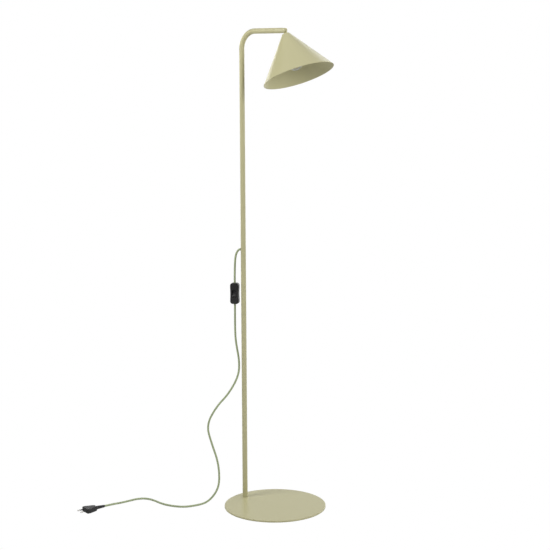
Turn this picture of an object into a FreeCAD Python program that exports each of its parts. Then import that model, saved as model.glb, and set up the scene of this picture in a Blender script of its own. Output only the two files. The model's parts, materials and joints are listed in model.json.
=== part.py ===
"""Adjustable arm floor lamp, in millimetres.

+Z is up and +X runs along the arm from the pole toward the shade. The origin is the centre of the
floor face under the base plate.
"""
import FreeCAD, Part
import math
import os

Vector = FreeCAD.Vector
X_AXIS = Vector(1, 0, 0)
Y_AXIS = Vector(0, 1, 0)
Z_AXIS = Vector(0, 0, 1)

# ---------------------------------------------------------------- driving dimensions

# base
pad_thickness = 2.5
pad_radius = 132.0
base_radius = 150.0
base_thickness = 4.5
base_edge_round = 0.9
base_top = pad_thickness + base_thickness

# pole and arm, one tube size
pole_x = -118.5
arm_height = 1394.0
tube_radius = 7.5
tube_wall = 1.5
tube_bore = tube_radius - tube_wall
bend_radius = 50.0
pole_joint_height = 700.0
arm_end_x = 8.8

# foot of the pole
foot_thread_radius = 4.0
foot_head_radius = 8.0
foot_head_height = 4.0
foot_bolt_length = 30.0
foot_socket_width = 5.0
foot_socket_depth = 3.0
foot_insert_height = 30.0
bolt_access_radius = 9.5
coupler_half_length = 30.0
coupler_wall = 2.5

# where the cord leaves the pole
cord_hole_height = 762.0
cord_hole_radius = 4.2
grommet_flange_radius = 5.2
grommet_flange_x = pole_x - tube_radius - 1.0
cord_start_x = pole_x - 4.9
cord_radius = 3.0
pole_lead_turn = 4.5
pole_lead_end_x = -24.0

# swivel of the arm's end piece, about the arm's axis
swivel_gap = 0.4
head_start_x = arm_end_x + swivel_gap
bush_length = 24.8
spindle_radius = 4.0
spindle_bore = 2.6
spindle_start_x = -23.0
spindle_depth_in_head = 14.0
running_clearance = 0.05
swivel_washer_radius = 5.3
swivel_washer_thickness = 1.0
swivel_washer_gap = 0.1
swivel_nut_width = 9.4
swivel_nut_height = 4.0

# tilt hinge of the shade
pivot_x = 42.1
slot_half_width = 3.1
slot_depth_behind_pivot = 9.0
fork_end_past_pivot = 4.6
fork_end_round = 2.0
tongue_half_thickness = 2.5
tongue_top_radius = 4.6
tongue_flange_radius = 6.5
tilt_washer_radius = 5.0
tilt_washer_gap = 0.05
hinge_screw_radius = 2.0
hinge_head_radius = 3.5
hinge_head_height = 1.8
hinge_head_seat = 5.0
hinge_screw_tip = -5.6
hinge_socket_width = 2.5
hinge_socket_depth = 1.2
shade_tilt = 22.1

# shade; its lengths run down its own axis from the pivot
shade_top_drop = 10.0
shade_rim_drop = 135.4
shade_top_radius = 10.4
shade_rim_radius = 102.6
shade_wall = 1.0
shade_top_round = 0.8
nipple_radius = 5.0
nipple_bore = 3.2
nipple_end_drop = 27.0
shade_nut_width = 14.0
shade_nut_height = 3.0
lead_channel_radius = 1.6

# lampholder and bulb, on the shade's axis
holder_cap_drop = 15.0
holder_joint_drop = 27.0
holder_mouth_drop = 62.0
holder_radius = 14.0
holder_floor_drop = 38.0
holder_sleeve_radius = 7.9
holder_sleeve_bore = 7.05
bulb_cap_radius = 6.95
bulb_cap_top_drop = 41.5
bulb_contact_drop = 38.6
bulb_tip_drop = 118.5
globe_radius = 22.5
bulb_neck_radius = 6.9
glass_wall = 0.7
contact_stem_radius = 1.2
contact_stem_length = 7.0
contact_leaf_radius = 3.0
lead_core_radius = 1.1
lead_core_offset = 1.5
filament_ring_radius = 5.0
filament_radius = 0.8
filament_length = 29.0
filament_count = 4

# in-line switch, hanging on the cord with its face turned toward the room
switch_centre = Vector(-148.6, -5.3, 628.5)
switch_yaw = -63.0
switch_half_length = 31.3
switch_half_width = 12.7
switch_half_depth = 9.5
switch_corner_radius = 7.0
switch_waist = 0.75
switch_waist_half_length = 18.0
switch_crown_radius = 240.0
switch_wall = 2.0
switch_screw_radius = 1.2
switch_screw_head_radius = 2.2
switch_screw_seat_depth = 1.6
switch_boss_radius = 2.6
switch_lug_thickness = 1.9
rocker_pivot_depth = 4.5
rocker_half_width = 5.4
rocker_tilt = 14.0
rocker_pin_radius = 1.0
window_half_width = 5.8
window_half_length = 10.4

# plug, lying flat on the floor
plug_start = Vector(-382.0, -333.0, 7.0)
plug_yaw = -104.0
relief_length = 28.0
relief_tip_radius = 3.8
relief_root_radius = 5.6
plug_length = 37.0
plug_half_width = 17.6
plug_half_thickness = 7.0
plug_pin_offset = 9.3
plug_pin_radius = 2.0
plug_core_radius = 1.4
plug_core_depth = 8.0
plug_sleeve_radius = 1.8
plug_sleeve_length = 10.0
plug_pin_bare_length = 9.0

# cord routes, chosen point by point: from the pole to the switch, and from the switch to the plug
upper_route = [
    (cord_start_x, 0.0, cord_hole_height), (-130.6, 0.0, 762.0), (-136.9, -0.4, 759.0),
    (-141.6, -1.0, 753.4), (-145.5, -2.0, 745.6), (-147.2, -3.2, 735.0), (-147.9, -4.2, 721.5),
    (-148.1, -5.0, 703.5), (-148.6, -5.3, 682.0), (-148.6, -5.3, 659.8),
]
lower_route = [
    (-148.6, -5.3, 597.2), (-148.6, -5.3, 564.0), (-147.5, -7.0, 525.0), (-143.5, -9.0, 483.0),
    (-132.0, -6.0, 427.0), (-132.0, -10.0, 380.0), (-153.0, -33.0, 326.0), (-177.0, -59.0, 290.0),
    (-198.0, -83.0, 234.0), (-183.0, -77.0, 178.0), (-165.0, -68.0, 122.0), (-158.0, -70.0, 63.0),
    (-163.0, -81.0, 30.0), (-178.0, -103.0, 3.0), (-182.0, -144.0, 3.0), (-204.0, -186.0, 3.0),
    (-263.0, -203.0, 3.0), (-318.0, -192.0, 3.0), (-347.0, -195.0, 3.0), (-364.0, -214.0, 3.0),
    (-369.0, -243.0, 3.0), (-371.0, -274.0, 4.6), (-374.6, -303.4, 7.0), (-382.0, -333.0, 7.0),
]


# ---------------------------------------------------------------- helpers

def cylinder(radius, start, direction, length):
    return Part.makeCylinder(radius, length, start, direction)


def ring(outer, inner, start, direction, length):
    return cylinder(outer, start, direction, length).cut(cylinder(inner, start, direction, length))


def hexagon(width, start, direction, length):
    """Hexagonal prism of the given width across its flats."""
    corner = width / math.sqrt(3)
    points = [Vector(corner * math.cos(math.radians(60 * i)), corner * math.sin(math.radians(60 * i)), 0)
              for i in range(6)]
    prism = Part.Face(Part.makePolygon(points + points[:1])).extrude(Vector(0, 0, length))
    prism.Placement = FreeCAD.Placement(start, FreeCAD.Rotation(Z_AXIS, direction))
    return prism


def box(low, high):
    return Part.makeBox(high[0] - low[0], high[1] - low[1], high[2] - low[2], Vector(*low))


def revolve(edges):
    """Turn a closed outline in the XZ plane about the Z axis."""
    return Part.Face(Part.Wire(edges)).revolve(Vector(0, 0, 0), Z_AXIS, 360)


def polygon_revolve(radius_height):
    points = [Vector(radius, 0, height) for radius, height in radius_height]
    return revolve(Part.makePolygon(points + points[:1]).Edges)


def round_edges(shape, radius, wanted):
    return shape.makeFillet(radius, [edge for edge in shape.Edges if wanted(edge)])


def circles_at_height(height):
    """Picks the edges that lie level at one height."""
    return lambda edge: all(abs(vertex.Z - height) < 0.01 for vertex in edge.Vertexes) and \
        abs(edge.BoundBox.ZMax - edge.BoundBox.ZMin) < 0.01


def placed(shape, origin, yaw):
    result = shape.copy()
    turn = FreeCAD.Placement(origin, FreeCAD.Rotation(Z_AXIS, yaw))
    result.Placement = turn.multiply(shape.Placement)
    return result


def on_shade_axis(shape):
    """From the shade's own frame, pivot at the origin and axis down, to the lamp's."""
    result = shape.copy()
    pivot = Vector(pivot_x, 0, arm_height)
    hang = FreeCAD.Placement(pivot, FreeCAD.Rotation(Y_AXIS, -shade_tilt))
    result.Placement = hang.multiply(shape.Placement)
    return result


def on_switch(shape):
    return placed(shape, switch_centre, switch_yaw)


def on_plug(shape):
    return placed(shape, plug_start, plug_yaw)


def cord_tube(name, route):
    """Round tube along straight runs joined by tangent arcs, as large as their two runs allow."""
    points = [Vector(*point) for point in route]
    edges = []
    radii = []
    start = points[0]
    for before, corner, after in zip(points, points[1:], points[2:]):
        inward = (corner - before).normalize()
        outward = (after - corner).normalize()
        turn = inward.getAngle(outward)
        reach = 0.45 * min(corner.distanceToPoint(before), corner.distanceToPoint(after))
        radius = reach / math.tan(turn / 2)
        arc_start = corner - inward * reach
        arc_end = corner + outward * reach
        to_centre = (outward - inward).normalize()
        middle = corner + to_centre * (radius / math.cos(turn / 2) - radius)
        edges.append(Part.LineSegment(start, arc_start).toShape())
        edges.append(Part.Arc(arc_start, middle, arc_end).toShape())
        radii.append(radius)
        start = arc_end
    edges.append(Part.LineSegment(start, points[-1]).toShape())
    path = Part.Wire(edges)
    section = Part.Wire(Part.makeCircle(cord_radius, points[0], points[1] - points[0]))
    tube = path.makePipeShell([section], True, False)
    ratio = tube.Volume / (math.pi * cord_radius ** 2 * path.Length)
    print(name, "length %.1f" % path.Length, "radii", ["%.0f" % radius for radius in radii],
          "volume ratio %.4f" % ratio)
    return tube


# ---------------------------------------------------------------- base and pole

def base_plate():
    plate = cylinder(base_radius, Vector(0, 0, pad_thickness), Z_AXIS, base_thickness)
    plate = round_edges(plate, base_edge_round, circles_at_height(base_top))
    sink = Part.makeCone(foot_head_radius, foot_thread_radius, foot_head_height,
                         Vector(pole_x, 0, pad_thickness))
    hole = cylinder(foot_thread_radius, Vector(pole_x, 0, pad_thickness), Z_AXIS, base_thickness)
    return plate.cut(sink).cut(hole)


def base_pad():
    pad = cylinder(pad_radius, Vector(0, 0, 0), Z_AXIS, pad_thickness)
    return pad.cut(cylinder(bolt_access_radius, Vector(pole_x, 0, 0), Z_AXIS, pad_thickness))


def foot_bolt():
    start = Vector(pole_x, 0, pad_thickness)
    head = Part.makeCone(foot_head_radius, foot_thread_radius, foot_head_height, start)
    bolt = head.fuse(cylinder(foot_thread_radius, start, Z_AXIS, foot_bolt_length))
    return bolt.removeSplitter().cut(hexagon(foot_socket_width, start, Z_AXIS, foot_socket_depth))


def foot_insert():
    return ring(tube_bore, foot_thread_radius, Vector(pole_x, 0, base_top), Z_AXIS, foot_insert_height)


def lower_pole():
    return ring(tube_radius, tube_bore, Vector(pole_x, 0, base_top), Z_AXIS, pole_joint_height - base_top)


def pole_coupler():
    start = Vector(pole_x, 0, pole_joint_height - coupler_half_length)
    return ring(tube_bore, tube_bore - coupler_wall, start, Z_AXIS, 2 * coupler_half_length)


def bent_rod(radius, bottom, end_x):
    """Solid rod up the pole's line, round the bend and out along the arm's line."""
    bend_start = Vector(pole_x, 0, arm_height - bend_radius)
    bend_centre = Vector(pole_x + bend_radius, 0, arm_height - bend_radius)
    arm_start = Vector(pole_x + bend_radius, 0, arm_height)
    upright = cylinder(radius, Vector(pole_x, 0, bottom), Z_AXIS, bend_start.z - bottom)
    section = Part.Face(Part.Wire(Part.makeCircle(radius, bend_start, Z_AXIS)))
    bend = section.revolve(bend_centre, Y_AXIS, 90)
    arm = cylinder(radius, arm_start, X_AXIS, end_x - arm_start.x)
    return upright.fuse([bend, arm]).removeSplitter()


def upper_pole():
    tube = bent_rod(tube_radius, pole_joint_height, arm_end_x)
    tube = tube.cut(bent_rod(tube_bore, pole_joint_height, arm_end_x))
    hole_start = Vector(pole_x - 2 * tube_radius, 0, cord_hole_height)
    return tube.cut(cylinder(cord_hole_radius, hole_start, X_AXIS, 2 * tube_radius))


def cord_grommet():
    start = Vector(grommet_flange_x, 0, cord_hole_height)
    inner_x = pole_x - tube_bore
    flange = cylinder(grommet_flange_radius, start, X_AXIS, 4.0)
    flange = round_edges(flange, 0.6, lambda edge: edge.BoundBox.XMax < grommet_flange_x + 0.01)
    flange = flange.cut(cylinder(tube_radius, Vector(pole_x, 0, cord_hole_height - 10), Z_AXIS, 20))
    neck = cylinder(cord_hole_radius, start, X_AXIS, inner_x - grommet_flange_x)
    neck = neck.common(cylinder(tube_radius, Vector(pole_x, 0, cord_hole_height - 10), Z_AXIS, 20))
    return flange.fuse(neck).cut(cylinder(cord_radius, start, X_AXIS, 10))


def pole_lead():
    start = Vector(cord_start_x, 0, cord_hole_height)
    turn_start_x = pole_x - pole_lead_turn
    turn_start = Vector(turn_start_x, 0, cord_hole_height)
    stub = cylinder(cord_radius, start, X_AXIS, turn_start_x - cord_start_x)
    section = Part.Face(Part.Wire(Part.makeCircle(cord_radius, turn_start, X_AXIS)))
    turn_centre = Vector(turn_start_x, 0, cord_hole_height + pole_lead_turn)
    turn = section.revolve(turn_centre, Y_AXIS, -90)
    rise = bent_rod(cord_radius, cord_hole_height + pole_lead_turn, pole_lead_end_x)
    return stub.fuse([turn, rise]).removeSplitter()


# ---------------------------------------------------------------- swivel and end piece of the arm

def arm_bush():
    start = Vector(arm_end_x - bush_length, 0, arm_height)
    return ring(tube_bore, spindle_radius + running_clearance, start, X_AXIS, bush_length)


def head_spindle():
    start = Vector(spindle_start_x, 0, arm_height)
    length = head_start_x + spindle_depth_in_head - spindle_start_x
    return ring(spindle_radius, spindle_bore, start, X_AXIS, length)


def swivel_washer():
    start_x = arm_end_x - bush_length - swivel_washer_gap - swivel_washer_thickness
    return ring(swivel_washer_radius, spindle_radius, Vector(start_x, 0, arm_height), X_AXIS,
                swivel_washer_thickness)


def swivel_nut():
    start_x = arm_end_x - bush_length - swivel_washer_gap - swivel_washer_thickness - swivel_nut_height
    start = Vector(start_x, 0, arm_height)
    nut = hexagon(swivel_nut_width, start, X_AXIS, swivel_nut_height)
    return nut.cut(cylinder(spindle_radius, start, X_AXIS, swivel_nut_height))


def head_fork():
    """Round bar, slotted from its flat end for the shade's tongue."""
    fork_end_x = pivot_x + fork_end_past_pivot
    start = Vector(head_start_x, 0, arm_height)
    fork = cylinder(tube_radius, start, X_AXIS, fork_end_x - head_start_x)
    fork = round_edges(fork, fork_end_round, lambda edge: edge.BoundBox.XMin > fork_end_x - 0.01)
    slot_start = pivot_x - slot_depth_behind_pivot
    fork = fork.cut(box((slot_start, -slot_half_width, arm_height - 20),
                        (pivot_x + 20, slot_half_width, arm_height + 20)))
    fork = fork.cut(cylinder(spindle_radius, start, X_AXIS, spindle_depth_in_head))
    fork = fork.cut(cylinder(spindle_bore, start, X_AXIS, slot_start - head_start_x))
    screw_start = Vector(pivot_x, hinge_screw_tip, arm_height)
    fork = fork.cut(cylinder(hinge_screw_radius, screw_start, Y_AXIS, 20))
    head_seat = Vector(pivot_x, hinge_head_seat, arm_height)
    return fork.cut(cylinder(hinge_head_radius + 0.2, head_seat, Y_AXIS, 20))


def hinge_screw():
    shank = cylinder(hinge_screw_radius, Vector(pivot_x, hinge_screw_tip, arm_height), Y_AXIS,
                     hinge_head_seat - hinge_screw_tip)
    head = cylinder(hinge_head_radius, Vector(pivot_x, hinge_head_seat, arm_height), Y_AXIS,
                    hinge_head_height)
    socket_start = Vector(pivot_x, hinge_head_seat + hinge_head_height - hinge_socket_depth, arm_height)
    return shank.fuse(head).cut(hexagon(hinge_socket_width, socket_start, Y_AXIS, hinge_socket_depth))


def tilt_washers():
    thickness = slot_half_width - tongue_half_thickness - tilt_washer_gap
    near = ring(tilt_washer_radius, hinge_screw_radius, Vector(pivot_x, -slot_half_width, arm_height),
                Y_AXIS, thickness)
    far = ring(tilt_washer_radius, hinge_screw_radius,
               Vector(pivot_x, slot_half_width - thickness, arm_height), Y_AXIS, thickness)
    return Part.makeCompound([near, far])


def head_lead():
    start = Vector(spindle_start_x, 0, arm_height)
    end_x = pivot_x - slot_depth_behind_pivot
    return cylinder(spindle_bore - 0.2, start, X_AXIS, end_x - spindle_start_x)


# ---------------------------------------------------------------- shade, in its own frame

def shade_tongue():
    """Flat tongue with a round top, on a small flange that sits on the shade."""
    flange_thickness = 0.9
    top = cylinder(tongue_top_radius, Vector(0, -tongue_half_thickness, 0), Y_AXIS,
                   2 * tongue_half_thickness)
    plate = box((-tongue_top_radius, -tongue_half_thickness, -shade_top_drop + flange_thickness),
                (tongue_top_radius, tongue_half_thickness, 0))
    flange = cylinder(tongue_flange_radius, Vector(0, 0, -shade_top_drop), Z_AXIS, flange_thickness)
    tongue = top.fuse([plate, flange]).removeSplitter()
    tongue = tongue.cut(cylinder(hinge_screw_radius + running_clearance, Vector(0, -10, 0), Y_AXIS, 20))
    turn_height = -5.5
    tongue = tongue.cut(cylinder(lead_channel_radius, Vector(0, 0, -shade_top_drop), Z_AXIS,
                                 shade_top_drop + turn_height))
    return tongue.cut(cylinder(lead_channel_radius, Vector(0, 0, turn_height), X_AXIS * -1, 10))


def shade_nipple():
    return ring(nipple_radius, nipple_bore, Vector(0, 0, -nipple_end_drop), Z_AXIS,
                nipple_end_drop - shade_top_drop)


def shade_shell():
    slope = (shade_rim_radius - shade_top_radius) / (shade_rim_drop - shade_top_drop)
    level_wall = shade_wall * math.sqrt(1 + slope ** 2)
    inner_top_radius = shade_top_radius + slope * shade_wall - level_wall
    shell = polygon_revolve([
        (nipple_radius + 0.1, -shade_top_drop),
        (shade_top_radius, -shade_top_drop),
        (shade_rim_radius, -shade_rim_drop),
        (shade_rim_radius - level_wall, -shade_rim_drop),
        (inner_top_radius, -shade_top_drop - shade_wall),
        (nipple_radius + 0.1, -shade_top_drop - shade_wall),
    ])
    is_level_top = circles_at_height(-shade_top_drop)
    return round_edges(shell, shade_top_round,
                       lambda edge: is_level_top(edge) and edge.BoundBox.XLength > 2 * nipple_radius + 2)


def shade_nut():
    start = Vector(0, 0, -shade_top_drop - shade_wall)
    nut = hexagon(shade_nut_width, start, Z_AXIS * -1, shade_nut_height)
    return nut.cut(cylinder(nipple_radius, start, Z_AXIS * -1, shade_nut_height))


def holder_cap():
    return polygon_revolve([
        (nipple_radius, -holder_cap_drop), (9.0, -holder_cap_drop), (12.5, -18.0), (holder_radius, -22.0),
        (holder_radius, -holder_joint_drop), (12.4, -holder_joint_drop), (12.4, -22.5), (10.5, -20.0),
        (nipple_radius, -20.0),
    ])


def holder_body():
    mouth_radius = holder_radius - 0.8
    collar_drop = holder_joint_drop + 9.0
    return polygon_revolve([
        (holder_radius, -holder_joint_drop), (holder_radius, -collar_drop),
        (mouth_radius, -collar_drop - 1.0), (mouth_radius, -holder_mouth_drop),
        (holder_sleeve_radius, -holder_mouth_drop), (holder_sleeve_radius, -holder_floor_drop),
        (contact_stem_radius, -holder_floor_drop), (contact_stem_radius, -33.0), (11.0, -33.0),
        (11.0, -holder_joint_drop),
    ])


def holder_sleeve():
    return ring(holder_sleeve_radius, holder_sleeve_bore, Vector(0, 0, 1 - holder_mouth_drop), Z_AXIS,
                holder_mouth_drop - holder_floor_drop - 1)


def contact_stem():
    return cylinder(contact_stem_radius, Vector(0, 0, -holder_floor_drop), Z_AXIS, contact_stem_length)


def holder_contact():
    stem = contact_stem()
    leaf = cylinder(contact_leaf_radius, Vector(0, 0, -bulb_contact_drop), Z_AXIS,
                    bulb_contact_drop - holder_floor_drop)
    return stem.fuse(leaf)


def holder_leads():
    """Two insulated cores that come down the nipple to the lampholder's terminals."""
    bottom = -31.0
    length = -shade_top_drop - bottom
    cores = [cylinder(lead_core_radius, Vector(side * lead_core_offset, 0, bottom), Z_AXIS, length)
             for side in (-1, 1)]
    return Part.makeCompound([core.cut(contact_stem()) for core in cores])


def bulb_contact():
    return Part.makeCone(2.6, 1.6, 1.2, Vector(0, 0, -bulb_contact_drop - 1.2), Z_AXIS)


def bulb_insulator():
    top = -bulb_contact_drop - 1.2
    return Part.makeCone(6.2, 2.6, bulb_cap_top_drop + top, Vector(0, 0, -bulb_cap_top_drop), Z_AXIS)


def bulb_cap():
    """Screw shell: a thin cup whose wall has round ridges."""
    wall = 0.4
    pitch = 2.82
    points = [(0.0, -bulb_cap_top_drop), (6.2, -bulb_cap_top_drop)]
    ridge = 0
    height = -bulb_cap_top_drop - 1.2
    while height > -holder_mouth_drop + 1.5:
        points.append((bulb_cap_radius - (0.55 if ridge % 2 == 0 else 0.0), height))
        height -= pitch / 2
        ridge += 1
    points += [(bulb_cap_radius - 0.1, -holder_mouth_drop), (6.0, -holder_mouth_drop),
               (6.0, -bulb_cap_top_drop - wall), (0.0, -bulb_cap_top_drop - wall)]
    return polygon_revolve(points)


def globe_outline(globe, neck):
    """Neck, concave shoulder and globe as tangent arcs; returns the edges and the two end points."""
    neck_drop = -holder_mouth_drop
    centre_drop = -(bulb_tip_drop - globe_radius)
    drop = neck_drop - centre_drop
    shoulder = (neck ** 2 + drop ** 2 - globe ** 2) / (2 * (globe - neck))
    share = globe / (globe + shoulder)
    meet = Vector((neck + shoulder) * share, 0, centre_drop + drop * share)
    half_turn = math.atan2(drop, neck + shoulder) / 2
    shoulder_middle = Vector(neck + shoulder - shoulder * math.cos(half_turn), 0,
                             neck_drop - shoulder * math.sin(half_turn))
    start = Vector(neck, 0, neck_drop)
    tip = Vector(0, 0, centre_drop - globe)
    low_turn = math.radians(-20)
    globe_middle = Vector(globe * math.cos(low_turn), 0, centre_drop + globe * math.sin(low_turn))
    edges = [Part.Arc(start, shoulder_middle, meet).toShape(), Part.Arc(meet, globe_middle, tip).toShape()]
    return edges, start, tip


def bulb_glass():
    outer, outer_start, outer_tip = globe_outline(globe_radius, bulb_neck_radius)
    inner, inner_start, inner_tip = globe_outline(globe_radius - glass_wall, bulb_neck_radius - glass_wall)
    neck_edge = Part.LineSegment(inner_start, outer_start).toShape()
    tip_edge = Part.LineSegment(outer_tip, inner_tip).toShape()
    return revolve(Part.sortEdges(outer + inner + [neck_edge, tip_edge])[0])


def bulb_stem():
    return polygon_revolve([
        (0.0, -holder_mouth_drop), (6.1, -holder_mouth_drop), (4.2, -65.0), (2.3, -70.0), (1.9, -77.0),
        (2.6, -79.0), (1.8, -80.5), (0.0, -81.0),
    ])


def bulb_filaments():
    """Straight filaments around a centre wire, joined to it by thin spokes at both ends."""
    top = -84.0
    bottom = top - filament_length
    parts = [cylinder(0.5, Vector(0, 0, bottom - 1), Z_AXIS, -81.0 - bottom + 1)]
    for i in range(filament_count):
        angle = math.radians(45 + 360 / filament_count * i)
        side = Vector(math.cos(angle), math.sin(angle), 0)
        foot = side * filament_ring_radius
        parts.append(cylinder(filament_radius, Vector(foot.x, foot.y, bottom), Z_AXIS, filament_length))
        for height in (bottom - 0.2, top - 0.2):
            parts.append(cylinder(0.35, Vector(0, 0, height), side, filament_ring_radius))
    return parts[0].fuse(parts[1:])


# ---------------------------------------------------------------- in-line switch, face toward its own +X

def switch_block(shrink):
    """Waisted block with rounded corners; shrink makes the smaller block that hollows it."""
    half = (switch_half_depth - shrink, switch_half_width - shrink, switch_half_length - shrink)
    block = box((-half[0], -half[1], -half[2]), half)
    block = round_edges(block, switch_corner_radius - shrink, lambda edge: edge.BoundBox.XLength > half[0])
    waist_radius = (switch_waist_half_length ** 2 + switch_waist ** 2) / (2 * switch_waist)
    for side in (-1, 1):
        centre = Vector(-20, side * (half[1] - switch_waist + waist_radius), 0)
        block = block.cut(cylinder(waist_radius, centre, X_AXIS, 40))
    crown_centre = Vector(switch_half_depth - switch_crown_radius, -30, 0)
    return block.common(cylinder(switch_crown_radius - shrink, crown_centre, Y_AXIS, 60))


def switch_outer():
    block = switch_block(0)
    crown_drop = switch_half_length ** 2 / (2 * switch_crown_radius)
    front = switch_half_depth - crown_drop - 0.1
    back = 0.1 - switch_half_depth
    return round_edges(block, 2.0, lambda edge: edge.BoundBox.XMin > front or edge.BoundBox.XMax < back)


def switch_screw_places():
    return [Vector(0, 6.0, 20.5), Vector(0, -6.0, -20.5)]


def switch_front():
    shell = switch_outer().common(box((0, -30, -50), (30, 30, 50)))
    shell = shell.cut(switch_block(switch_wall))
    for place in switch_screw_places():
        boss = cylinder(switch_boss_radius, place, X_AXIS, switch_half_depth - switch_wall)
        shell = shell.fuse(boss).cut(cylinder(switch_screw_radius, place, X_AXIS, 5.0))
    window = box((0, -window_half_width, -window_half_length), (30, window_half_width, window_half_length))
    return shell.cut(window)


def switch_back():
    shell = switch_outer().common(box((-30, -30, -50), (0, 30, 50)))
    shell = shell.cut(switch_block(switch_wall))
    for place in switch_screw_places():
        seat_depth = switch_half_depth - switch_screw_seat_depth
        head_seat = place - X_AXIS * seat_depth
        pillar = ring(switch_boss_radius, switch_screw_radius, head_seat, X_AXIS, seat_depth)
        shell = shell.fuse(pillar)
        shell = shell.cut(cylinder(switch_screw_head_radius, head_seat, X_AXIS * -1, 5.0))
        shell = shell.cut(cylinder(switch_screw_radius, head_seat, X_AXIS, 5.0))
    return shell


def switch_screws():
    screws = []
    for place in switch_screw_places():
        head_seat = place - X_AXIS * (switch_half_depth - switch_screw_seat_depth)
        shank = cylinder(switch_screw_radius, head_seat, X_AXIS, switch_half_depth + 2.5)
        head = cylinder(switch_screw_head_radius, head_seat - X_AXIS * 1.2, X_AXIS, 1.2)
        cross = [box((-0.5, -0.3, -1.5), (0.0, 0.3, 1.5)), box((-0.5, -1.5, -0.3), (0.0, 1.5, 0.3))]
        screw = shank.fuse(head)
        for arm in cross:
            arm.translate(head_seat - X_AXIS * 0.7)
            screw = screw.cut(arm)
        screws.append(screw)
    return Part.makeCompound(screws)


def switch_contacts():
    """Two brass strips along the switch, under the rocker's two ends."""
    strips = [box((-4.5, -3.0, side * 14.0 - 9.0), (-3.5, 3.0, side * 14.0 + 9.0)) for side in (-1, 1)]
    return Part.makeCompound(strips)


def switch_cord_clamps():
    clamps = [box((-2.0, -5.0, side * 26.0 - 2.0), (2.0, 5.0, side * 26.0 + 2.0)) for side in (-1, 1)]
    return Part.makeCompound(clamps)


def switch_rocker_pin():
    reach = window_half_width + switch_lug_thickness
    return cylinder(rocker_pin_radius, Vector(rocker_pivot_depth, -reach, 0), Y_AXIS, 2 * reach)


def switch_rocker_lugs():
    """Two posts inside the front that hold the ends of the rocker's pin."""
    lugs = []
    for side in (-1, 1):
        low_y = min(side * window_half_width, side * (window_half_width + switch_lug_thickness))
        lug = box((1.5, low_y, -3.0),
                  (switch_half_depth - switch_wall - 0.1, low_y + switch_lug_thickness, 3.0))
        lugs.append(lug.cut(cylinder(rocker_pin_radius, Vector(rocker_pivot_depth, -20, 0), Y_AXIS, 40)))
    return Part.makeCompound(lugs)


def switch_rocker():
    """V-shaped rocker on a pin; at rest its lower end stands out and its upper end is pressed in."""
    outline = [(1.8, -5.0), (1.8, 5.0), (5.4, 9.2), (8.4, 9.0), (6.4, 0.0), (8.4, -9.0), (5.4, -9.2)]
    points = [Vector(depth, -rocker_half_width, height) for depth, height in outline]
    rocker = Part.Face(Part.makePolygon(points + points[:1])).extrude(Vector(0, 2 * rocker_half_width, 0))
    rocker = round_edges(rocker, 0.5, lambda edge: edge.BoundBox.YLength > 1 and edge.BoundBox.XMin > 8.3)
    hole_radius = rocker_pin_radius + running_clearance
    rocker = rocker.cut(cylinder(hole_radius, Vector(rocker_pivot_depth, -20, 0), Y_AXIS, 40))
    rocker.rotate(Vector(rocker_pivot_depth, 0, 0), Y_AXIS, -rocker_tilt)
    return rocker


# ---------------------------------------------------------------- plug, pins toward its own +X

def plug_relief():
    """Tapered sleeve with four grooves, from the end of the cord to the plug."""
    groove = 0.5
    points = [(0.0, 0.0), (relief_tip_radius, 0.0)]
    for i in range(4):
        for offset, depth in ((4.0, 0.0), (4.4, groove), (5.6, groove), (6.0, 0.0)):
            length = 5.5 * i + offset
            radius = relief_tip_radius + (relief_root_radius - relief_tip_radius) * length / relief_length
            points.append((radius - depth, length))
    points += [(relief_root_radius, relief_length), (0.0, relief_length)]
    relief = polygon_revolve(points)
    relief.rotate(Vector(0, 0, 0), Y_AXIS, 90)
    return relief


def plug_pin_starts():
    return [Vector(relief_length + plug_length, side * plug_pin_offset, 0) for side in (-1, 1)]


def plug_body():
    outline = [(0.0, -8.0), (8.0, -11.5), (27.0, -plug_half_width), (plug_length, -plug_half_width),
               (plug_length, plug_half_width), (27.0, plug_half_width), (8.0, 11.5), (0.0, 8.0)]
    points = [Vector(relief_length + length, width, -plug_half_thickness) for length, width in outline]
    body = Part.Face(Part.makePolygon(points + points[:1])).extrude(Vector(0, 0, 2 * plug_half_thickness))
    body = round_edges(body, 3.0, lambda edge: edge.BoundBox.ZLength > 1)
    body = round_edges(body, 2.0, lambda edge: edge.BoundBox.ZLength < 0.01)
    for start in plug_pin_starts():
        body = body.cut(cylinder(plug_core_radius, start, X_AXIS * -1, plug_core_depth))
    return body


def plug_pins():
    pins = []
    for start in plug_pin_starts():
        core = cylinder(plug_core_radius, start - X_AXIS * plug_core_depth, X_AXIS,
                        plug_sleeve_length + plug_core_depth)
        bare_start = start + X_AXIS * plug_sleeve_length
        bare = cylinder(plug_pin_radius, bare_start, X_AXIS, plug_pin_bare_length)
        bare = round_edges(bare, 1.0, lambda edge: edge.BoundBox.XMin > bare_start.x + 1)
        pins.append(core.fuse(bare))
    return Part.makeCompound(pins)


def plug_sleeves():
    sleeves = [ring(plug_sleeve_radius, plug_core_radius, start, X_AXIS, plug_sleeve_length)
               for start in plug_pin_starts()]
    return Part.makeCompound(sleeves)


# ---------------------------------------------------------------- all pieces

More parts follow.
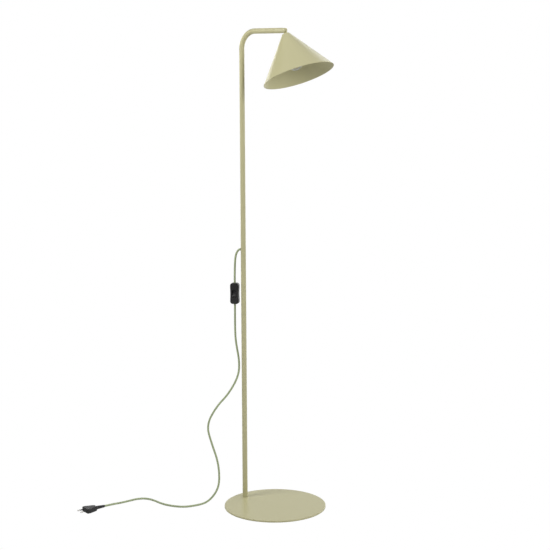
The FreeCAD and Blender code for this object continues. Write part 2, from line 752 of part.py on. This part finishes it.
def lamp_pieces():
    plain = [base_plate, base_pad, foot_bolt, foot_insert, lower_pole, pole_coupler, upper_pole,
             cord_grommet, pole_lead, arm_bush, head_spindle, swivel_washer, swivel_nut, head_fork,
             hinge_screw, tilt_washers, head_lead]
    shade = [shade_tongue, shade_nipple, shade_shell, shade_nut, holder_cap, holder_body, holder_sleeve,
             holder_contact, holder_leads, bulb_contact, bulb_insulator, bulb_cap, bulb_glass, bulb_stem,
             bulb_filaments]
    switch = [switch_front, switch_back, switch_screws, switch_contacts, switch_cord_clamps,
              switch_rocker_pin, switch_rocker_lugs, switch_rocker]
    plug = [plug_relief, plug_body, plug_pins, plug_sleeves]
    pieces = {make.__name__: make() for make in plain}
    pieces.update({make.__name__: on_shade_axis(make()) for make in shade})
    pieces.update({make.__name__: on_switch(make()) for make in switch})
    pieces.update({make.__name__: on_plug(make()) for make in plug})
    pieces["cord_upper"] = cord_tube("cord_upper", upper_route)
    pieces["cord_lower"] = cord_tube("cord_lower", lower_route)
    return pieces


os.makedirs("parts", exist_ok=True)
for name, shape in lamp_pieces().items():
    shape.exportStep("parts/" + name + ".step")
    print(name, len(shape.Solids), "volume %.1f" % shape.Volume, "valid", shape.isValid())
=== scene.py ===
"""Looks of the adjustable arm floor lamp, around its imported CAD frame. Lengths are in metres."""

import json
import math

import bmesh
import bpy
from mathutils import Matrix, Vector


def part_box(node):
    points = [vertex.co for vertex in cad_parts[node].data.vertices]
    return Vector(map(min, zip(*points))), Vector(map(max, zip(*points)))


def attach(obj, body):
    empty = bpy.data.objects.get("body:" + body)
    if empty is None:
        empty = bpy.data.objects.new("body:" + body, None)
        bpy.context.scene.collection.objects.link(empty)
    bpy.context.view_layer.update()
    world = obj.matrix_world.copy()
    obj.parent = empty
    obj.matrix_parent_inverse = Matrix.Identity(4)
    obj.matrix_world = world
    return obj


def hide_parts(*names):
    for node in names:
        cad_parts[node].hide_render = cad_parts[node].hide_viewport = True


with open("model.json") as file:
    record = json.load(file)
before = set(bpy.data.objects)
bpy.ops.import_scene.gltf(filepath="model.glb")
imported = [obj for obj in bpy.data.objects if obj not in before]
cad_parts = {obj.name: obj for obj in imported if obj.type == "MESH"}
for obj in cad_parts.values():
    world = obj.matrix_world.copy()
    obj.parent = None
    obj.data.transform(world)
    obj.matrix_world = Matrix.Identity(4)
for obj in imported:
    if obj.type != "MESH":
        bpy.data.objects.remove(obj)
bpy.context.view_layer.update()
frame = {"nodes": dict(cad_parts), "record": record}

MM = 0.001
record = frame["record"]
joints = {joint["name"]: joint for joint in record["behaviour"]["joints"]}
NODE_SLOT = {part["node"]: part["material_slot"] for part in record["subparts"]}
NODE_BODY = {node: body for body, nodes in record["behaviour"]["bodies"].items() for node in nodes}


def new_object(name, data):
    """A new object in the scene that shows the data."""
    made = bpy.data.objects.new(name, data)
    bpy.context.scene.collection.objects.link(made)
    return made


def centre_of(node):
    low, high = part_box(node)
    return (low + high) / 2


def spread(first, last, steps):
    """Evenly spaced values, with both ends."""
    return [first + (last - first) * i / steps for i in range(steps + 1)]


# ---------------------------------------------------------------- camera

CAMERA_PLACE = (2.5496, -3.0158, 1.3175)
CAMERA_TILT = 81.076
CAMERA_ROLL = 0.234913
CAMERA_TURN = 40.174


def make_camera():
    """The photograph's camera, fitted to the base plate, pole, arm and shade; angles in degrees."""
    data = bpy.data.cameras.new("camera")
    data.sensor_width = 36.0
    data.lens = 90.39
    data.shift_x = 0.0015
    camera = new_object("camera", data)
    camera.location = CAMERA_PLACE
    camera.rotation_euler = [math.radians(angle) for angle in (CAMERA_TILT, CAMERA_ROLL, CAMERA_TURN)]
    bpy.context.scene.camera = camera


make_camera()

# ---------------------------------------------------------------- cords

CORD_DIAMETER = 6 * MM
UPPER_ROUTE = [
    (-0.1234, 0.0, 0.762), (-0.1306, 0.0, 0.762), (-0.1369, -0.0004, 0.759), (-0.1416, -0.001, 0.7534),
    (-0.1455, -0.002, 0.7456), (-0.1472, -0.0032, 0.735), (-0.1479, -0.0042, 0.7215),
    (-0.1481, -0.005, 0.7035), (-0.1486, -0.0053, 0.682), (-0.1486, -0.0053, 0.6598),
]
LOWER_ROUTE = [
    (-0.1486, -0.0053, 0.5972), (-0.1486, -0.0053, 0.564), (-0.1475, -0.007, 0.525),
    (-0.1435, -0.009, 0.483), (-0.132, -0.006, 0.427), (-0.132, -0.010, 0.380),
    (-0.153, -0.033, 0.326), (-0.177, -0.059, 0.290), (-0.198, -0.083, 0.234),
    (-0.183, -0.077, 0.178), (-0.165, -0.068, 0.122), (-0.158, -0.070, 0.063),
    (-0.163, -0.081, 0.030), (-0.178, -0.103, 0.003), (-0.182, -0.144, 0.003),
    (-0.204, -0.186, 0.003), (-0.263, -0.203, 0.003), (-0.318, -0.192, 0.003),
    (-0.347, -0.195, 0.003), (-0.364, -0.214, 0.003), (-0.369, -0.243, 0.003),
    (-0.371, -0.274, 0.0046), (-0.3746, -0.3034, 0.007), (-0.382, -0.333, 0.007),
]


def make_cord(name, route):
    """Round cord on a smooth spline whose control points are the route."""
    data = bpy.data.curves.new(name, "CURVE")
    data.dimensions = "3D"
    data.bevel_depth = CORD_DIAMETER / 2
    data.bevel_resolution = 5
    data.resolution_u = 10
    data.use_fill_caps = True
    spline = data.splines.new("NURBS")
    spline.points.add(len(route) - 1)
    for point, place in zip(spline.points, route):
        point.co = (*place, 1.0)
    spline.order_u = 3
    spline.use_endpoint_u = True
    return new_object(name, data)


cord_upper = make_cord("textile_cord_upper", UPPER_ROUTE)
cord_lower = make_cord("textile_cord_lower", LOWER_ROUTE)

# ---------------------------------------------------------------- materials

BLACK = (0, 0, 0, 1)
WHITE = (1, 1, 1, 1)


def srgb(red, green, blue):
    """Linear colour of an 8-bit screen colour."""
    def linear(value):
        share = value / 255
        return share / 12.92 if share <= 0.04045 else ((share + 0.055) / 1.055) ** 2.4
    return (linear(red), linear(green), linear(blue), 1.0)


def toned(colour, factor):
    """A colour made darker or lighter by a factor."""
    return tuple(min(1.0, part * factor) for part in colour[:3]) + (1.0,)


class Finish:
    """A material in the making, with short calls for the shader nodes that the finishes share."""

    def __init__(self, name):
        self.material = bpy.data.materials.new(name)
        self.material.use_nodes = True
        self.tree = self.material.node_tree
        self.shader = self.tree.nodes["Principled BSDF"]
        self.place = self.add("ShaderNodeTexCoord").outputs["Object"]

    def add(self, kind, **values):
        node = self.tree.nodes.new(kind)
        for key, value in values.items():
            setattr(node, key, value)
        return node

    def feed(self, value, socket):
        """Links a node's output to a socket, or sets the socket to a plain value."""
        if hasattr(value, "is_output"):
            self.tree.links.new(value, socket)
        else:
            socket.default_value = value

    def to(self, **sockets):
        """Feeds the shader's own sockets."""
        for name, value in sockets.items():
            self.feed(value, self.shader.inputs[name.replace("_", " ")])

    def calc(self, operation, first, second=None):
        node = self.add("ShaderNodeMath", operation=operation)
        self.feed(first, node.inputs[0])
        if second is not None:
            self.feed(second, node.inputs[1])
        return node.outputs["Value"]

    def stretched(self, scales, place=None):
        node = self.add("ShaderNodeMapping")
        self.feed(place or self.place, node.inputs["Vector"])
        self.feed(scales, node.inputs["Scale"])
        return node.outputs["Vector"]

    def noise(self, scale, detail=2.0, place=None):
        node = self.add("ShaderNodeTexNoise")
        self.feed(place or self.place, node.inputs["Vector"])
        self.feed(scale, node.inputs["Scale"])
        self.feed(detail, node.inputs["Detail"])
        return node.outputs["Fac"]

    def ramp(self, fac, stops):
        """Colour along a ramp of (position, colour) stops."""
        node = self.add("ShaderNodeValToRGB")
        first, last = node.color_ramp.elements
        first.position, first.color = stops[0]
        last.position, last.color = stops[-1]
        for position, colour in stops[1:-1]:
            node.color_ramp.elements.new(position).color = colour
        self.feed(fac, node.inputs["Fac"])
        return node.outputs["Color"]

    def span(self, fac, bottom, top):
        """A factor from 0 to 1, spread between two values."""
        node = self.add("ShaderNodeMapRange")
        self.feed(fac, node.inputs["Value"])
        self.feed(bottom, node.inputs["To Min"])
        self.feed(top, node.inputs["To Max"])
        return node.outputs["Result"]

    def mix(self, fac, first, second):
        node = self.add("ShaderNodeMix", data_type="RGBA")
        self.feed(fac, node.inputs["Factor"])
        self.feed(first, node.inputs["A"])
        self.feed(second, node.inputs["B"])
        return node.outputs["Result"]

    def tint(self, fac, colour, share):
        """A colour that drifts between darker and lighter by a share of itself."""
        return self.mix(fac, toned(colour, 1 - share), toned(colour, 1 + share))

    def bump(self, height, strength, distance, below=None):
        node = self.add("ShaderNodeBump")
        self.feed(height, node.inputs["Height"])
        self.feed(strength, node.inputs["Strength"])
        self.feed(distance, node.inputs["Distance"])
        if below is not None:
            self.feed(below, node.inputs["Normal"])
        return node.outputs["Normal"]


def paint_finish():
    """Satin powder coat: slight clouding, fine orange peel, and a painted highlight that makes sharp
    edges a little lighter.
    """
    look = Finish("powder_coat")
    cloud = look.tint(look.noise(9.0, detail=3.0), srgb(206, 201, 158), 0.012)
    edge = look.add("ShaderNodeNewGeometry").outputs["Pointiness"]
    # painted highlight: a lighter copy of the paint on sharp convex edges, where light catches them
    painted_edge_highlight = look.span(look.ramp(edge, [(0.54, BLACK), (0.62, WHITE)]), 0.0, 0.25)
    fine_peel = look.bump(look.noise(1400.0, detail=1.0), strength=0.05, distance=0.2 * MM)
    look.to(Base_Color=look.mix(painted_edge_highlight, cloud, srgb(224, 221, 186)))
    look.to(Roughness=look.span(look.noise(60.0), 0.27, 0.33), Specular_IOR_Level=0.42)
    look.to(Normal=look.bump(look.noise(500.0), strength=0.02, distance=0.3 * MM, below=fine_peel))
    return look.material


def foam_finish():
    """Matte foam with fine open cells, painted darker in their pits as shade."""
    look = Finish("pad_foam")
    cells = look.add("ShaderNodeTexVoronoi")
    look.feed(look.place, cells.inputs["Vector"])
    look.feed(900.0, cells.inputs["Scale"])
    depth = cells.outputs["Distance"]
    # painted shade: the colour is darker where the cells are deepest
    look.to(Base_Color=look.ramp(depth, [(0.0, srgb(30, 30, 29)), (0.8, srgb(58, 58, 56))]))
    look.to(Roughness=look.span(look.noise(300.0), 0.82, 0.95))
    look.to(Normal=look.bump(depth, strength=0.4, distance=0.4 * MM))
    return look.material


def metal_finish(name, colour, roughness, grain):
    """Bare metal with machining grain, as scales along X, Y and Z, and handling marks."""
    look = Finish(name)
    streaks = look.noise(1.0, detail=4.0, place=look.stretched(grain))
    marks = look.noise(140.0, detail=3.0)
    look.to(Base_Color=look.tint(streaks, colour, 0.06), Metallic=1.0)
    look.to(Roughness=look.span(marks, roughness - 0.06, roughness + 0.10))
    look.to(Normal=look.bump(streaks, strength=0.08, distance=0.2 * MM))
    return look.material


def plastic_finish(name, colour, roughness, grain=0.25):
    """Moulded plastic with a fine spark-eroded grain and a few rubbed patches."""
    look = Finish(name)
    rubbed = look.noise(85.0, detail=3.0)
    look.to(Base_Color=look.tint(look.noise(45.0, detail=3.0), colour, 0.08))
    look.to(Roughness=look.span(rubbed, roughness - 0.07, roughness + 0.07))
    look.to(Normal=look.bump(look.noise(2600.0, detail=1.0), strength=grain, distance=0.15 * MM))
    return look.material


def rubber_finish(name, colour):
    """Soft rubber or lead insulation, dull and faintly grained."""
    look = Finish(name)
    look.to(Base_Color=look.tint(look.noise(120.0, detail=3.0), colour, 0.07))
    look.to(Roughness=look.span(look.noise(200.0), 0.58, 0.74))
    look.to(Normal=look.bump(look.noise(1500.0, detail=1.0), strength=0.15, distance=0.2 * MM))
    return look.material


def braid_finish():
    """Braided textile sleeve: two sets of yarns that wind round the cord opposite ways, painted darker
    where the weave dips as shade.
    """
    look = Finish("textile_braid")
    yarns_along, yarns_round = 420.0, 6.0
    split = look.add("ShaderNodeSeparateXYZ")
    flat = look.add("ShaderNodeTexCoord").outputs["UV"]
    look.feed(look.stretched((yarns_along, yarns_round, 1.0), flat), split.inputs["Vector"])
    waves = []
    for winding in ("ADD", "SUBTRACT"):
        turns = look.calc(winding, split.outputs["X"], split.outputs["Y"])
        waves.append(look.calc("SINE", look.calc("MULTIPLY", turns, 2 * math.pi)))
    height = look.span(look.calc("MULTIPLY", *waves), 0.5, 1.0)
    fuzz = look.noise(2200.0, detail=3.0)
    # painted shade: the yarn colour is darker where the weave dips between yarns
    shaded_yarn_colours = [(0.3, srgb(160, 174, 132)), (0.75, srgb(180, 194, 150)), (1.0, srgb(190, 202, 162))]
    weave_bump = look.bump(height, strength=0.3, distance=0.3 * MM)
    shaded_yarn = look.ramp(height, shaded_yarn_colours)
    look.to(Base_Color=look.mix(look.span(fuzz, 0.0, 0.3), shaded_yarn, srgb(198, 204, 172)))
    look.to(Roughness=look.span(fuzz, 0.78, 0.95), Sheen_Weight=0.35, Sheen_Roughness=0.45)
    look.to(Normal=look.bump(fuzz, strength=0.2, distance=0.2 * MM, below=weave_bump))
    return look.material


def glass_finish(name, roughness, clear):
    """Blown glass with faint waves in it; clear is the share of light that it lets through."""
    look = Finish(name)
    look.to(Base_Color=srgb(250, 252, 252), Transmission_Weight=clear, IOR=1.45)
    look.to(Roughness=look.span(look.noise(35.0), roughness, roughness + 0.03))
    look.to(Normal=look.bump(look.noise(26.0, detail=1.0), strength=0.04, distance=1.0 * MM))
    return look.material


def filament_finish():
    """Yellow phosphor coat of the filaments, finely grained."""
    look = Finish("filament_phosphor")
    look.to(Base_Color=look.tint(look.noise(700.0), srgb(236, 184, 72), 0.10))
    look.to(Roughness=look.span(look.noise(400.0), 0.45, 0.6))
    look.to(Normal=look.bump(look.noise(1800.0, detail=1.0), strength=0.2, distance=0.1 * MM))
    return look.material


FINISHES = {
    "paint": paint_finish(),
    "pad": foam_finish(),
    "steel": metal_finish("zinc_steel", srgb(196, 198, 201), 0.32, grain=(900.0, 900.0, 60.0)),
    "brass": metal_finish("bare_brass", srgb(212, 178, 104), 0.26, grain=(60.0, 900.0, 900.0)),
    "nickel": metal_finish("nickel_plate", srgb(214, 212, 207), 0.20, grain=(500.0, 500.0, 500.0)),
    "black_plastic": plastic_finish("black_plastic", srgb(41, 41, 42), 0.42),
    "holder_plastic": plastic_finish("holder_plastic", srgb(230, 228, 221), 0.38, grain=0.12),
    "nylon": plastic_finish("natural_nylon", srgb(226, 222, 208), 0.42, grain=0.10),
    "textile": braid_finish(),
    "wire": rubber_finish("wire_insulation", srgb(96, 98, 88)),
    "grommet": rubber_finish("grommet_rubber", srgb(128, 130, 104)),
    "bulb_glass": glass_finish("bulb_glass", roughness=0.0, clear=0.82),
    "stem_glass": glass_finish("stem_glass", roughness=0.04, clear=1.0),
    "filament": filament_finish(),
}


def wear(piece, slot):
    """Gives a piece the finish of a material slot."""
    piece.data.materials.clear()
    piece.data.materials.append(FINISHES[slot])


for node_name, slot_name in NODE_SLOT.items():
    wear(frame["nodes"][node_name], slot_name)


# ---------------------------------------------------------------- mesh helpers

NO_RADIUS = 0.0001 * MM


def finish_piece(piece, node):
    """Gives a new piece the finish and the body of the CAD node that it stands for."""
    wear(piece, NODE_SLOT[node])
    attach(piece, NODE_BODY[node])
    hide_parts(node)
    return piece


def mesh_object(name, maker, crease=35.0):
    """Object of a finished bmesh, smooth but for edges that turn more than crease degrees."""
    mesh = bpy.data.meshes.new(name)
    maker.to_mesh(mesh)
    maker.free()
    mesh.polygons.foreach_set("use_smooth", [True] * len(mesh.polygons))
    mesh.set_sharp_from_angle(angle=math.radians(crease))
    return new_object(name, mesh)


def arc(centre, radius, start, end, steps):
    """Points of an arc in the profile plane; angles in degrees from the outward direction."""
    turns = [math.radians(angle) for angle in spread(start, end, steps)]
    return [(centre[0] + radius * math.cos(turn), centre[1] + radius * math.sin(turn)) for turn in turns]


def ring(maker, sides, radius, place):
    """Vertices of a circle in the XY plane of a place; with no radius they are all the same one."""
    if radius < NO_RADIUS:
        return [maker.verts.new(place.translation)] * sides
    turns = [2 * math.pi * i / sides for i in range(sides)]
    points = [Vector((radius * math.cos(turn), radius * math.sin(turn), 0)) for turn in turns]
    return [maker.verts.new(place @ point) for point in points]


def bridged(name, maker, rings, crease=35.0):
    """Closed piece with a band of faces from each ring to the next, and from the last to the first."""
    for lower, upper in zip(rings, rings[1:] + rings[:1]):
        for i in range(len(lower)):
            j = (i + 1) % len(lower)
            corners = list(dict.fromkeys((lower[i], lower[j], upper[j], upper[i])))
            if len(corners) > 2:
                maker.faces.new(corners)
    bmesh.ops.recalc_face_normals(maker, faces=maker.faces)
    return mesh_object(name, maker, crease)


def lathe(name, profile, place, sides=192, crease=35.0):
    """Turns a closed profile of (radius, height) points."""
    maker = bmesh.new()
    rings = []
    for radius, height in profile:
        rings.append(ring(maker, sides, radius, place @ Matrix.Translation((0, 0, height))))
    return bridged(name, maker, rings, crease)


def applied(piece):
    """Puts the result of a piece's modifiers into its mesh."""
    graph = bpy.context.evaluated_depsgraph_get()
    graph.update()
    mesh = bpy.data.meshes.new_from_object(piece.evaluated_get(graph))
    piece.modifiers.clear()
    piece.data = mesh


def softened(node, width, segments=2):
    """A copy of a CAD node with its sharp edges rounded and its flat faces shaded flat."""
    crease, level_angle = 30.0, 0.5
    weld_gap = 0.001 * MM
    maker = bmesh.new()
    maker.from_mesh(frame["nodes"][node].data)
    bmesh.ops.remove_doubles(maker, verts=maker.verts, dist=weld_gap)
    bmesh.ops.dissolve_limit(maker, angle_limit=math.radians(level_angle),
                             verts=maker.verts, edges=maker.edges)
    piece = mesh_object("soft_" + node, maker, crease)
    bevel = piece.modifiers.new("edges", "BEVEL")
    bevel.width = width
    bevel.segments = segments
    bevel.limit_method = "ANGLE"
    bevel.angle_limit = math.radians(crease)
    applied(piece)
    piece.data.set_sharp_from_angle(angle=math.radians(crease))
    level = piece.modifiers.new("level_faces", "WEIGHTED_NORMAL")
    level.keep_sharp = True
    applied(piece)
    return finish_piece(piece, node)


# ---------------------------------------------------------------- base and pole

pole_x = centre_of("lower_pole").x
TUBE_RADIUS = (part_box("lower_pole")[1].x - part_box("lower_pole")[0].x) / 2
TUBE_BORE = TUBE_RADIUS - 1.5 * MM
TUBE_CHAMFER = 0.25 * MM
TUBE_SIDES = 96
BEND_RADIUS = 50 * MM


def make_base_plate():
    """Turned disc, its upper and lower edges rounded."""
    low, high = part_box("base_plate")
    radius = (high.x - low.x) / 2
    top_round = 0.9 * MM
    low_round = 0.4 * MM
    profile = [(0, low.z), (radius - low_round, low.z)]
    profile += arc((radius - low_round, low.z + low_round), low_round, -90, 0, 4)[1:]
    profile += arc((radius - top_round, high.z - top_round), top_round, 0, 90, 8)
    profile += [(radius * share, high.z) for share in (0.98, 0.75, 0.5, 0.25)] + [(0, high.z)]
    plate = lathe("turned_base_plate", profile, Matrix.Identity(4), sides=288)
    return finish_piece(plate, "base_plate")


def make_lower_pole():
    """Straight tube, chamfered at its upper end."""
    low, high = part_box("lower_pole")
    profile = [(TUBE_RADIUS, height) for height in spread(low.z, high.z - TUBE_CHAMFER, 24)]
    profile += [(TUBE_RADIUS - TUBE_CHAMFER, high.z), (TUBE_BORE, high.z), (TUBE_BORE, low.z)]
    pole = lathe("drawn_lower_pole", profile, Matrix.Translation((pole_x, 0, 0)), TUBE_SIDES)
    return finish_piece(pole, "lower_pole")


def make_upper_pole():
    """One tube: up, round the bend and out along the arm."""
    low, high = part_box("upper_pole")
    quarter = math.pi / 2
    arm_z = high.z - TUBE_RADIUS
    bend_x, bend_z = pole_x + BEND_RADIUS, arm_z - BEND_RADIUS

    def section(x, z, turn):
        """Place of the tube's section; turn is how far round the bend it is."""
        return Matrix.Translation((x, 0, z)) @ Matrix.Rotation(turn + math.pi, 4, "Y")

    sections = [section(pole_x, z, 0.0) for z in spread(low.z + TUBE_CHAMFER, bend_z, 20)]
    for turn in spread(0.0, quarter, 32)[1:]:
        x = bend_x - BEND_RADIUS * math.cos(turn)
        z = bend_z + BEND_RADIUS * math.sin(turn)
        sections.append(section(x, z, turn))
    sections += [section(x, arm_z, quarter) for x in spread(bend_x, high.x - TUBE_CHAMFER, 6)[1:]]

    foot, tip = section(pole_x, low.z, 0.0), section(high.x, arm_z, quarter)
    edge_radius = TUBE_RADIUS - TUBE_CHAMFER
    outline = [(edge_radius, foot)] + [(TUBE_RADIUS, place) for place in sections]
    outline += [(edge_radius, tip), (TUBE_BORE, tip)]
    outline += [(TUBE_BORE, place) for place in reversed(sections)] + [(TUBE_BORE, foot)]
    maker = bmesh.new()
    rings = [ring(maker, TUBE_SIDES, radius, place) for radius, place in outline]
    return finish_piece(bridged("bent_upper_pole", maker, rings), "upper_pole")


make_base_plate()
make_lower_pole()
make_upper_pole()

# ---------------------------------------------------------------- shade and bulb

pivot = Vector(joints["shade_tilt"]["pos_m"])
shade_axis = (centre_of("shade_nipple") - pivot).normalized()
shade_frame = Matrix.Translation(pivot) @ (-shade_axis).to_track_quat("Z", "X").to_matrix().to_4x4()


def make_shade():
    """Spun cone: thin wall, small flat top, plain rolled rim. A drop is a distance below the pivot."""
    top_drop, rim_drop = 10.0 * MM, 135.4 * MM
    top_radius, rim_radius = 10.4 * MM, 102.6 * MM
    hole_radius, wall = 5.1 * MM, 1.0 * MM
    top_round, rim_round = 0.8 * MM, 0.45 * MM
    # Rounded edges, in mm: inward of the cone's edge, and below the flat top or above the rim.
    top_edge = ((0.9, 0.0), (0.2, 0.22))
    rim_edge = ((0.25, 0.08), (0.62, 0.0), (1.0, 0.08))
    slope = (rim_radius - top_radius) / (rim_drop - top_drop)
    level_wall = wall * math.sqrt(1 + slope ** 2)
    inner_top = top_radius + slope * wall - level_wall
    drops = spread(top_drop + top_round, rim_drop - rim_round, 28)
    cone = [(top_radius + slope * (drop - top_drop), -drop) for drop in drops]
    profile = [(hole_radius, -top_drop)]
    profile += [(top_radius - inward * MM, -top_drop - below * MM) for inward, below in top_edge]
    profile += cone
    profile += [(rim_radius - inward * MM, above * MM - rim_drop) for inward, above in rim_edge]
    profile += [(radius - level_wall, height) for radius, height in reversed(cone)]
    profile += [(inner_top, -top_drop - wall), (hole_radius, -top_drop - wall)]
    return finish_piece(lathe("spun_shade", profile, shade_frame, sides=288, crease=40), "shade_shell")


def make_bulb_glass():
    """Small globe bulb: neck, concave shoulder and globe as tangent arcs, thin wall."""
    neck_drop, tip_drop = 62.0 * MM, 118.5 * MM
    globe, neck, wall = 22.5 * MM, 6.9 * MM, 0.7 * MM
    globe_height = globe - tip_drop
    rise = -neck_drop - globe_height

    def outline(globe_now, neck_now):
        shoulder = (neck_now ** 2 + rise ** 2 - globe_now ** 2) / (2 * (globe_now - neck_now))
        turn = math.degrees(math.atan2(rise, neck_now + shoulder))
        points = arc((neck_now + shoulder, -neck_drop), shoulder, 180, 180 + turn, 14)
        return points + arc((0, globe_height), globe_now, turn, -90, 40)[1:]

    outside = outline(globe, neck)
    inside = outline(globe - wall, neck - wall)
    glass = lathe("blown_bulb_glass", outside + inside[::-1], shade_frame, sides=128, crease=60)
    return finish_piece(glass, "bulb_glass")


make_shade()
make_bulb_glass()

# ---------------------------------------------------------------- fittings, switch and plug

for fitting in ("head_fork", "shade_tongue"):
    softened(fitting, 0.35 * MM, 3)
for fitting in ("hinge_screw", "shade_nut", "foot_bolt", "tilt_washers"):
    softened(fitting, 0.2 * MM)
for fitting in ("holder_cap", "holder_body"):
    softened(fitting, 0.4 * MM, 3)
switch_pieces = [softened(node, 0.3 * MM, 3) for node in ("switch_front", "switch_back", "switch_rocker")]
plug_pieces = [softened(node, 0.3 * MM, 3) for node in ("plug_body", "plug_relief")]

finish_piece(cord_upper, "cord_upper")
finish_piece(cord_lower, "cord_lower")

# ---------------------------------------------------------------- floor and light

FLOOR_RADIUS = 14.0
FLOOR_GLOW = 0.11
FLOOR_GAP = 0.05 * MM


def seen_white(tree, shader, white_kind, surface):
    """Sends a shader to a surface, but shows plain white to the camera, as a cut-out studio shot does."""
    white = tree.nodes.new(white_kind)
    white.inputs["Color"].default_value = WHITE
    ray = tree.nodes.new("ShaderNodeLightPath")
    mix = tree.nodes.new("ShaderNodeMixShader")
    tree.links.new(ray.outputs["Is Camera Ray"], mix.inputs["Fac"])
    tree.links.new(shader.outputs[0], mix.inputs[1])
    tree.links.new(white.outputs[0], mix.inputs[2])
    tree.links.new(mix.outputs["Shader"], surface)


def make_floor():
    """Plain pale floor, a hair under the lamp's foot so that the two faces don't fight."""
    bpy.ops.mesh.primitive_circle_add(vertices=96, radius=FLOOR_RADIUS, fill_type="NGON",
                                      location=(0, 0, -FLOOR_GAP))
    floor = bpy.context.active_object
    floor.name = "studio_floor"
    look = Finish("studio_floor")
    look.to(Base_Color=look.mix(look.noise(3.0), srgb(205, 205, 203), srgb(211, 211, 209)))
    look.to(Roughness=0.9, Emission_Color=WHITE, Emission_Strength=FLOOR_GLOW)
    surface = look.tree.nodes["Material Output"].inputs["Surface"]
    seen_white(look.tree, look.shader, "ShaderNodeEmission", surface)
    floor.data.materials.append(look.material)


def make_world():
    """No light from the world: the softboxes give it all."""
    world = bpy.data.worlds.new("studio")
    bpy.context.scene.world = world
    world.use_nodes = True
    tree = world.node_tree
    unlit = tree.nodes["Background"]
    unlit.inputs["Strength"].default_value = 0.0
    seen_white(tree, unlit, "ShaderNodeBackground", tree.nodes["World Output"].inputs["Surface"])


def softbox(name, turn, reach, height, aim_height, size, power):
    """Area light on a ring round the lamp.

    turn is in degrees to the camera's right of the camera, reach the ring's radius, size the
    light's width and height, and power in watts. It aims at the origin's axis at aim_height.
    """
    data = bpy.data.lights.new(name, "AREA")
    data.shape = "RECTANGLE"
    data.size, data.size_y = size
    data.energy = power
    heading = math.radians(CAMERA_TURN + turn)
    place = Vector((reach * math.sin(heading), -reach * math.cos(heading), height))
    light = new_object(name, data)
    light.location = place
    light.rotation_euler = (Vector((0, 0, aim_height)) - place).to_track_quat("-Z", "Y").to_euler()
    light.visible_camera = False


make_floor()
make_world()
softbox("backdrop", 180, 7.0, 1.5, 1.5, (12.0, 3.0), 100)
softbox("backdrop_left", -145, 6.0, 1.5, 1.5, (4.0, 3.0), 68)
softbox("backdrop_right", 145, 6.0, 1.5, 1.5, (4.0, 3.0), 45)
softbox("key_left", -65, 1.8, 2.0, 1.2, (0.9, 0.9), 28)
softbox("front", 35, 1.8, 2.0, 1.2, (0.9, 0.9), 8.5)
softbox("side_right", 65, 3.3, 1.7, 0.8, (1.4, 1.4), 42)
softbox("back_right", 150, 4.5, 3.6, 0.8, (3.0, 3.0), 48)
softbox("overhead", 0, 0.01, 3.6, 0.0, (4.0, 4.0), 26.5)
bpy.context.scene.view_settings.view_transform = "Standard"
